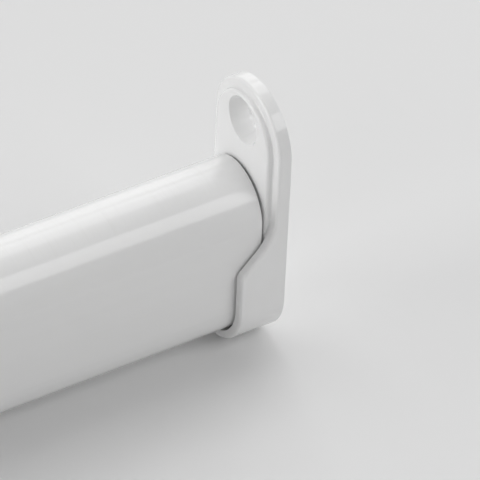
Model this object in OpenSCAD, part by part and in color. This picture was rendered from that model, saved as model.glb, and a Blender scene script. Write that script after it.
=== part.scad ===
// Oval wardrobe rail resting in two open cradle brackets.
// The rail runs along X. The origin is the centre of the left bracket's screw hole,
// on the face that lies against the wardrobe's side panel.

/* [Rail] */
// Distance between the two side panels that the brackets are screwed to
span = 462; // [200:1:1200]
// Width of the oval tube, front to back
tube_w = 15; // [10:0.5:20]
// Height of the oval tube
tube_h = 30; // [22:0.5:40]
// Wall thickness of the tube
tube_wall = 1; // [0.6:0.1:2]

/* [Fit] */
// Play all round between the tube and its cradle
cradle_gap = 0.4; // [0.2:0.05:0.8]
// Play between each end of the tube and the seat pad
end_gap = 0.45; // [0.3:0.05:2]

/* [Bracket] */
// Thickness of the mounting plate
plate_t = 2.2; // [1.6:0.1:3.5]
// Height of the raised pad above the plate
pad_t = 0.95; // [0.6:0.05:2]
// Rounding of the pad's edge
pad_edge_r = 0.5; // [0.2:0.05:0.6]
// Radius at the foot of the pad
pad_foot_r = 0.4; // [0.2:0.05:0.5]
// Reach of the cradle from the side panel
cradle_depth = 8; // [6.5:0.5:14]
// Wall thickness of the cradle
cradle_wall = 1.4; // [1:0.05:3]
// Rounding of the bracket's outer edges
edge_r = 0.45; // [0.2:0.05:0.7]

/* [Shoulders] */
// Angle between a sloped shoulder and the upright edge below it
slope = 44.74; // [35:0.01:50]
// Height above the rail's centre line at which the shoulders reach the full depth
shoulder_z = 0; // [-3:0.5:3]
// Radius where a shoulder turns into the upright edge of the cradle
shoulder_r = 1.6; // [0.8:0.1:3]
// Radius where a shoulder runs out onto the plate
runout_r = 9.5; // [3:0.5:14]

/* [Screw hole] */
// Height of the screw hole above the top of the tube
hole_lift = 8.1; // [5.5:0.1:16]
// Diameter of the countersink at its mouth
mouth_d = 8; // [6.5:0.1:8.8]
// Chamfer round the countersink's mouth
lip = 0.1; // [0.05:0.05:0.3]
// Diameter of the clearance hole for the screw
screw_d = 5.2; // [3:0.1:6]
// Length of the clearance hole, from the side panel to the countersink
screw_land = 0.6; // [0.4:0.1:1.2]
// Width of the pad left above the countersink, with its rounded edge
pad_rim = 0.45; // [0.4:0.05:3]

/* [Hidden] */
curve_fn = 96;
small_fn = 32;
over = 1;
// Depth by which a radius that ends on the plate cuts below its face
runout_cut = 0.01;

// Heights below are measured from the rail's centre line, and depths from the side panel
tube_r = tube_w / 2;
arc_z = tube_h / 2 - tube_r;
cavity_r = tube_r + cradle_gap;
half_w = cavity_r + cradle_wall;
seat_x = plate_t + pad_t;
rail_length = span - 2 * (seat_x + end_gap);
hole_rise = tube_h / 2 + hole_lift;
arch_z = hole_rise + mouth_d / 2 + lip + pad_rim - tube_r;
rail_z = -hole_rise;

// Centre of the shoulder's radius, as [depth, height]
shoulder_c = [cradle_depth - shoulder_r, shoulder_z - shoulder_r * tan(slope / 2)];
// Straight length of the slope, from the end of one radius to the start of the other
slope_drop = shoulder_c[0] + (shoulder_r + runout_r) * cos(slope) - (plate_t + runout_r - runout_cut);
slope_length = slope_drop / sin(slope);
runout_z = shoulder_z + (cradle_depth - plate_t) / tan(slope) + runout_r * tan(slope / 2);

// Solid upright oval along X, with half-circle ends of the given radius
module oval_bar(radius, length) {
    rotate([90, 0, 90]) linear_extrude(height = length) {
        for (side = [-1, 1]) translate([0, side * arc_z]) circle(r = radius, $fn = curve_fn);
        translate([-radius, -arc_z]) square([2 * radius, 2 * arc_z]);
    }
}

// Section of a slab: X is its depth, Y its width, and the two front corners are rounded
module slab_section(half, depth, rounding) {
    translate([0, -half]) square([depth - rounding, 2 * half]);
    translate([0, rounding - half]) square([depth, 2 * (half - rounding)]);
    for (side = [-1, 1]) {
        translate([depth - rounding, side * (half - rounding)]) circle(r = rounding, $fn = small_fn);
    }
}

// Upright slab between two heights
module slab(half, depth, rounding, low, high) {
    translate([0, 0, low]) linear_extrude(height = high - low) slab_section(half, depth, rounding);
}

// Round slab with the same section, centred at a height
module round_slab(radius, depth, rounding, height) {
    translate([0, 0, height]) rotate([0, 90, 0]) rotate_extrude($fn = curve_fn) {
        square([radius - rounding, depth]);
        square([radius, depth - rounding]);
        translate([radius - rounding, depth - rounding]) circle(r = rounding, $fn = small_fn);
    }
}

// Radius at the pad's foot: X is the distance from the pad's middle, Y the depth
module foot_section() {
    difference() {
        translate([tube_r - over, plate_t - over]) square([over + pad_foot_r, over + pad_foot_r - runout_cut]);
        translate([tube_r + pad_foot_r, plate_t + pad_foot_r - runout_cut])
            circle(r = pad_foot_r, $fn = small_fn);
    }
}

// Raised pad that the rail's end faces, with the radius at its foot
module pad(low) {
    round_slab(tube_r, seat_x, pad_edge_r, arch_z);
    slab(tube_r, seat_x, pad_edge_r, low, arch_z);
    translate([0, 0, arch_z]) rotate([0, 90, 0]) rotate_extrude($fn = curve_fn) foot_section();
    translate([0, 0, low]) linear_extrude(height = arch_z - low) {
        for (side = [0, 1]) mirror([0, side]) mirror([1, -1]) foot_section();
    }
}

// The section of its children turned about a level axis at centre, from one angle to another
module turned(centre, from, to) {
    translate([centre[0], 0, centre[1]]) rotate([90, 0, 0])
        rotate_extrude(start = from, angle = to - from, $fn = curve_fn) children();
}

// Sloped part of the bracket, which joins the plate to the full depth of the cradle
module shoulders() {
    deep = 2 * cradle_depth;
    intersection() {
        translate([0, -half_w - over, -arc_z])
            cube([cradle_depth + over, 2 * (half_w + over), arc_z + arch_z]);
        union() {
            turned(shoulder_c, -slope, 2 * slope) slab_section(half_w, shoulder_r, edge_r);
            translate([shoulder_c[0], 0, shoulder_c[1]]) rotate([0, -slope, 0]) {
                translate([shoulder_r - deep, 0, 0])
                    linear_extrude(height = slope_length + runout_r * tan(slope / 2))
                        slab_section(half_w, deep, edge_r);
                turned([shoulder_r + runout_r, slope_length], 180 - slope, 180)
                    translate([runout_r + deep, 0]) mirror([1, 0])
                        slab_section(half_w, deep, edge_r);
            }
        }
    }
}

// Countersunk screw hole through the plate and its pad
module screw_hole() {
    translate([0, 0, hole_rise]) rotate([0, 90, 0]) rotate_extrude($fn = curve_fn) polygon([
        [0, -over],
        [screw_d / 2, -over],
        [screw_d / 2, screw_land],
        [mouth_d / 2, seat_x - lip],
        [mouth_d / 2 + lip + over, seat_x + over],
        [0, seat_x + over]
    ]);
}

// Room for the tube, open at the top and towards the room
module cradle_cut() {
    translate([seat_x, 0, -arc_z]) {
        rotate([0, 90, 0]) cylinder(r = cavity_r, h = cradle_depth, $fn = curve_fn);
        translate([0, -cavity_r, 0]) cube([cradle_depth, 2 * cavity_r, runout_z + arc_z]);
    }
}

// One bracket, with the side panel at X = 0 and the rail's centre line at Z = 0
module bracket() {
    difference() {
        union() {
            round_slab(half_w, plate_t, edge_r, arch_z);
            slab(half_w, plate_t, edge_r, -arc_z, arch_z);
            pad(shoulder_c[1]);
            shoulders();
            slab(half_w, cradle_depth, edge_r, -arc_z, shoulder_c[1]);
            round_slab(half_w, cradle_depth, edge_r, -arc_z);
        }
        cradle_cut();
        screw_hole();
    }
}
module left_bracket() {
    color("white") translate([0, 0, rail_z]) bracket();
}
module right_bracket() {
    color("white") translate([span, 0, rail_z]) mirror([1, 0, 0]) bracket();
}
module rail() {
    color("whitesmoke") translate([seat_x + end_gap, 0, rail_z]) difference() {
        oval_bar(tube_r, rail_length);
        translate([-over, 0, 0]) oval_bar(tube_r - tube_wall, rail_length + 2 * over);
    }
}

rail();
left_bracket();
right_bracket();
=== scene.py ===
"""Oval wardrobe rail in its cradle brackets, on a pale studio floor."""

import math

import bpy
from mathutils import Matrix, Vector

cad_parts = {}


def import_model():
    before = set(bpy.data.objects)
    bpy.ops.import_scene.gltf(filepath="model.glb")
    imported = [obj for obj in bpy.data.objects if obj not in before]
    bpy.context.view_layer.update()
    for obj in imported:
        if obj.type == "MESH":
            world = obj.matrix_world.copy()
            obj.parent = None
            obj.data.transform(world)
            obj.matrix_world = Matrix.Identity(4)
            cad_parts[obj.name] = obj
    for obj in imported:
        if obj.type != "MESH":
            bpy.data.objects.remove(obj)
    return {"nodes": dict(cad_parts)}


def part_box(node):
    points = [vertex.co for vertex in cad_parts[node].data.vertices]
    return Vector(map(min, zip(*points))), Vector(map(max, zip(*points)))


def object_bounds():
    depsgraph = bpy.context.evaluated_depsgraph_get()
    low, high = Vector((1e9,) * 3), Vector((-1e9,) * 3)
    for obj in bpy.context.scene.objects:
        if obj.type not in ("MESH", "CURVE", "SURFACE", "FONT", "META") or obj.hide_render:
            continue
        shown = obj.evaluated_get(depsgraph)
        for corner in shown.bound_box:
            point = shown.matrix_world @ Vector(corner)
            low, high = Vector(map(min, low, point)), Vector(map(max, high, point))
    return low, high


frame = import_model()
CAD_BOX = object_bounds()

RAIL_LOW, RAIL_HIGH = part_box("rail")
BRACKET_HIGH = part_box("right_bracket")[1]
RAIL_MIDDLE = (RAIL_LOW + RAIL_HIGH) / 2
# The photographed end: the right bracket's back, on the rail's centre line
END = Vector((BRACKET_HIGH.x, RAIL_MIDDLE.y, RAIL_MIDDLE.z))

# Strength of the even light on the object, and of the backdrop as it is seen
FILL, BACKDROP = 0.19, 0.8
FLOOR_GREY = 0.8
FLOOR_HALF = 1.3
# The floor fades out between these distances from the object's middle
FADE_START, FADE_END = 0.6, 1.2
# Distance of the soft boxes from the photographed end, and the length of their sides
BOX_DISTANCE, BOX_SIDE = 2.5, 1.25
# Height of the tube's crown, where the hangers' hooks slide
CROWN = 0.0022


def camera():
    """Long lens above the rail, looking along it at the right bracket."""
    azimuth, elevation, roll = math.radians(-33.47), math.radians(40.41), math.radians(2.76)
    # Distance from the photographed end, and how far the camera stands to the right of it and above
    distance, shift_right, shift_up = 0.9317, -0.002241, -0.001649
    right = Vector((math.cos(azimuth), math.sin(azimuth), 0))
    back = Vector((math.sin(azimuth) * math.cos(elevation),
                   -math.cos(azimuth) * math.cos(elevation), math.sin(elevation)))
    up = back.cross(right)
    right, up = (math.cos(roll) * right + math.sin(roll) * up,
                 math.cos(roll) * up - math.sin(roll) * right)
    data = bpy.data.cameras.new("camera")
    data.sensor_width = 36
    data.lens = 450
    data.clip_start = 0.05
    data.clip_end = 60
    cam = bpy.data.objects.new("camera", data)
    place = END + distance * back + shift_right * right + shift_up * up
    cam.matrix_world = Matrix((
        (right.x, up.x, back.x, place.x),
        (right.y, up.y, back.y, place.y),
        (right.z, up.z, back.z, place.z),
        (0, 0, 0, 1),
    ))
    bpy.context.scene.collection.objects.link(cam)
    bpy.context.scene.camera = cam


def area_light(name, direction, distance, width, height, power, back=None):
    """Rectangular soft light in a direction from the photographed end, at which it shines.

    If back gives the direction of its back, it shines the opposite way, with its width along X.
    """
    data = bpy.data.lights.new(name, "AREA")
    data.shape = "RECTANGLE"
    data.size, data.size_y, data.energy = width, height, power
    lamp = bpy.data.objects.new(name, data)
    towards = Vector(direction).normalized()
    lamp.location = END + distance * towards
    away = Vector(back).normalized() if back else towards
    side = Vector((1, 0, 0)) if back else Vector((0, 0, 1)).cross(away).normalized()
    top = away.cross(side)
    lamp.matrix_world = Matrix((
        (side.x, top.x, away.x, lamp.location.x),
        (side.y, top.y, away.y, lamp.location.y),
        (side.z, top.z, away.z, lamp.location.z),
        (0, 0, 0, 1),
    ))
    lamp.visible_camera = False
    bpy.context.scene.collection.objects.link(lamp)


def grey(level):
    return (level, level, level, 1)


class Material:
    """A node material with a Principled shader, and short calls for the nodes that feed it."""

    def __init__(self, name):
        self.mat = bpy.data.materials.new(name)
        self.mat.use_nodes = True
        self.tree = self.mat.node_tree
        self.shader = self.tree.nodes["Principled BSDF"]
        self.where = self.tree.nodes.new("ShaderNodeTexCoord").outputs["Object"]

    def link(self, source, target):
        self.tree.links.new(source, target)

    def stretched(self, scale):
        """Object coordinates in metres, multiplied by scale on each axis."""
        node = self.tree.nodes.new("ShaderNodeMapping")
        node.inputs["Scale"].default_value = scale
        self.link(self.where, node.inputs["Vector"])
        return node.outputs["Vector"]

    def noise(self, scale, detail=2.0, vector=None, rough=0.5):
        node = self.tree.nodes.new("ShaderNodeTexNoise")
        node.inputs["Scale"].default_value = scale
        node.inputs["Detail"].default_value = detail
        node.inputs["Roughness"].default_value = rough
        self.link(vector or self.where, node.inputs["Vector"])
        return node.outputs["Fac"]

    def span(self, value, from_low, from_high, to_low, to_high, smooth=False):
        """value, carried from one range to another and clamped there."""
        node = self.tree.nodes.new("ShaderNodeMapRange")
        node.interpolation_type = "SMOOTHSTEP" if smooth else "LINEAR"
        for socket, number in zip(("From Min", "From Max", "To Min", "To Max"),
                                  (from_low, from_high, to_low, to_high)):
            node.inputs[socket].default_value = number
        self.link(value, node.inputs["Value"])
        return node.outputs["Result"]

    def math(self, how, a, b):
        node = self.tree.nodes.new("ShaderNodeMath")
        node.operation = how
        for socket, value in zip(node.inputs, (a, b)):
            if isinstance(value, (int, float)):
                socket.default_value = value
            else:
                self.link(value, socket)
        return node.outputs["Value"]

    def axis(self, name):
        node = self.tree.nodes.new("ShaderNodeSeparateXYZ")
        self.link(self.where, node.inputs["Vector"])
        return node.outputs[name]

    def blend(self, factor, colour_a, colour_b):
        node = self.tree.nodes.new("ShaderNodeMix")
        node.data_type = "RGBA"
        self.link(factor, node.inputs["Factor"])
        for socket, value in ((node.inputs[6], colour_a), (node.inputs[7], colour_b)):
            if isinstance(value, tuple):
                socket.default_value = value
            else:
                self.link(value, socket)
        return node.outputs[2]

    def bump(self, height, depth, under=None):
        """Bump of that depth in metres for a height from 0 to 1, over the bump under."""
        node = self.tree.nodes.new("ShaderNodeBump")
        node.inputs["Distance"].default_value = depth
        self.link(height, node.inputs["Height"])
        if under:
            self.link(under, node.inputs["Normal"])
        return node.outputs["Normal"]

    def set(self, **values):
        """Set or link the shader's sockets, whose names have _ for a space, and return the material."""
        for name, value in values.items():
            socket = self.shader.inputs[name.replace("_", " ")]
            if isinstance(value, (int, float, tuple)):
                socket.default_value = value
            else:
                self.link(value, socket)
        return self.mat


def rail_coating():
    """Smooth white powder coat on a rolled steel tube, rubbed along its top by hangers."""
    m = Material("rail_coating")
    cloud = m.noise(38, 3)
    along = m.noise(1, 4, m.stretched((14, 420, 420)), 0.6)
    peel = m.noise(620, 2)
    grain = m.noise(2600, 1)
    hooks = m.noise(1, 3, m.stretched((1700, 60, 60)), 0.65)
    crown = m.span(m.axis("Z"), RAIL_HIGH.z - CROWN, RAIL_HIGH.z, 0, 1, smooth=True)
    rubbed = m.math("MULTIPLY", crown, m.span(hooks, 0.50, 0.72, 0, 1))
    # Dust and handling dull the coat a little in long soft streaks
    streak = m.span(along, 0.35, 0.75, 0, 1)
    colour = m.blend(m.span(cloud, 0.3, 0.7, 0, 1), grey(0.842), (0.862, 0.862, 0.858, 1))
    colour = m.blend(m.math("MULTIPLY", streak, 0.35), colour, (0.832, 0.832, 0.826, 1))
    colour = m.blend(m.math("MULTIPLY", rubbed, 0.4), colour, (0.80, 0.80, 0.79, 1))
    rough = m.math("ADD", m.span(cloud, 0.3, 0.7, 0.10, 0.12), m.math("MULTIPLY", streak, 0.03))
    rough = m.math("ADD", rough, m.math("MULTIPLY", rubbed, 0.07))
    normal = m.bump(grain, 0.0000012, m.bump(peel, 0.000009))
    normal = m.bump(hooks, 0.0000015, normal)
    return m.set(Base_Color=colour, Roughness=rough, Normal=normal)


def bracket_plastic():
    """White moulded plastic with a fine bloom, faint flow marks and small specks."""
    m = Material("bracket_plastic")
    cloud = m.noise(90, 3)
    flow = m.noise(1, 3, m.stretched((260, 260, 70)), 0.55)
    bloom = m.noise(1500, 2)
    speck = m.noise(5200, 1)
    tint = m.math("ADD", m.math("MULTIPLY", cloud, 0.6), m.math("MULTIPLY", flow, 0.4))
    colour = m.blend(m.span(tint, 0.35, 0.65, 0, 1), (0.846, 0.846, 0.842, 1), grey(0.866))
    colour = m.blend(m.span(speck, 0.62, 0.78, 0, 0.25), colour, (0.80, 0.80, 0.795, 1))
    rough = m.math("ADD", m.span(flow, 0.3, 0.7, 0.07, 0.09), m.span(bloom, 0.4, 0.7, 0, 0.04))
    normal = m.bump(bloom, 0.000003, m.bump(flow, 0.000010))
    normal = m.bump(speck, 0.0000008, normal)
    return m.set(Base_Color=colour, Roughness=rough, Normal=normal)


def surroundings(tree):
    """Strength of the surroundings: BACKDROP where they are seen, directly or in gloss, else FILL."""
    ray = tree.nodes.new("ShaderNodeLightPath")
    seen = tree.nodes.new("ShaderNodeMath")
    seen.operation = "MAXIMUM"
    tree.links.new(ray.outputs["Is Camera Ray"], seen.inputs[0])
    tree.links.new(ray.outputs["Is Glossy Ray"], seen.inputs[1])
    level = tree.nodes.new("ShaderNodeMapRange")
    level.inputs["To Min"].default_value = FILL
    level.inputs["To Max"].default_value = BACKDROP
    tree.links.new(seen.outputs["Value"], level.inputs["Value"])
    return level.outputs["Result"]


def world():
    """World that lights the object evenly, and is seen as the pale backdrop."""
    w = bpy.data.worlds.new("studio")
    w.use_nodes = True
    background = w.node_tree.nodes["Background"]
    background.inputs["Color"].default_value = grey(1)
    w.node_tree.links.new(surroundings(w.node_tree), background.inputs["Strength"])
    bpy.context.scene.world = w


def floor():
    """Pale floor under the object, which fades out into the pale backdrop round it."""
    middle = (CAD_BOX[0] + CAD_BOX[1]) / 2
    corners = [(x * FLOOR_HALF, y * FLOOR_HALF, 0) for x, y in ((-1, -1), (1, -1), (1, 1), (-1, 1))]
    mesh = bpy.data.meshes.new("floor")
    mesh.from_pydata(corners, [], [(0, 1, 2, 3)])
    obj = bpy.data.objects.new("floor", mesh)
    obj.location = (middle.x, middle.y, CAD_BOX[0].z)
    bpy.context.scene.collection.objects.link(obj)
    m = Material("floor")
    m.set(Base_Color=grey(FLOOR_GREY), Roughness=0.9, Specular_IOR_Level=0)
    reach = m.tree.nodes.new("ShaderNodeVectorMath")
    reach.operation = "LENGTH"
    m.link(m.where, reach.inputs[0])
    far = m.tree.nodes.new("ShaderNodeEmission")
    m.link(surroundings(m.tree), far.inputs["Strength"])
    mix = m.tree.nodes.new("ShaderNodeMixShader")
    fade = m.span(reach.outputs["Value"], FADE_START, FADE_END, 0, 1, smooth=True)
    m.link(fade, mix.inputs["Fac"])
    m.link(m.shader.outputs["BSDF"], mix.inputs[1])
    m.link(far.outputs["Emission"], mix.inputs[2])
    m.link(mix.outputs["Shader"], m.tree.nodes["Material Output"].inputs["Surface"])
    mesh.materials.append(m.mat)


def bearing(azimuth, elevation):
    """Unit vector at an azimuth from +X towards +Y and an elevation, in degrees."""
    a, e = math.radians(azimuth), math.radians(elevation)
    return (math.cos(a) * math.cos(e), math.sin(a) * math.cos(e), math.sin(e))


camera()
floor()
world()
# The window light is the one whose reflection runs along the tube's shoulder
area_light("window", (0.42, -0.63, 0.65), distance=1.3, width=0.9, height=0.69, power=5,
           back=(0, -0.68, 0.73))
# Soft boxes round the object: name, azimuth, elevation and power
for name, azimuth, elevation, power in (
        ("left", 165, 14, 23.5), ("left_front", 210, 30, 4), ("back_left", 135, 14, 5.5),
        ("back", 60, 14, 3.5), ("back_middle", 60, 30, 3), ("back_high", 60, 50, 7.5),
        ("back_right", 30, 30, 13.5), ("right", 0, 14, 6.5), ("overhead", 90, 70, 11)):
    area_light(name, bearing(azimuth, elevation), BOX_DISTANCE, BOX_SIDE, BOX_SIDE, power)

coating, plastic = rail_coating(), bracket_plastic()
for node, mat in (("rail", coating), ("left_bracket", plastic), ("right_bracket", plastic)):
    mesh = frame["nodes"][node].data
    mesh.materials.clear()
    mesh.materials.append(mat)

bpy.context.scene.view_settings.view_transform = "Standard"
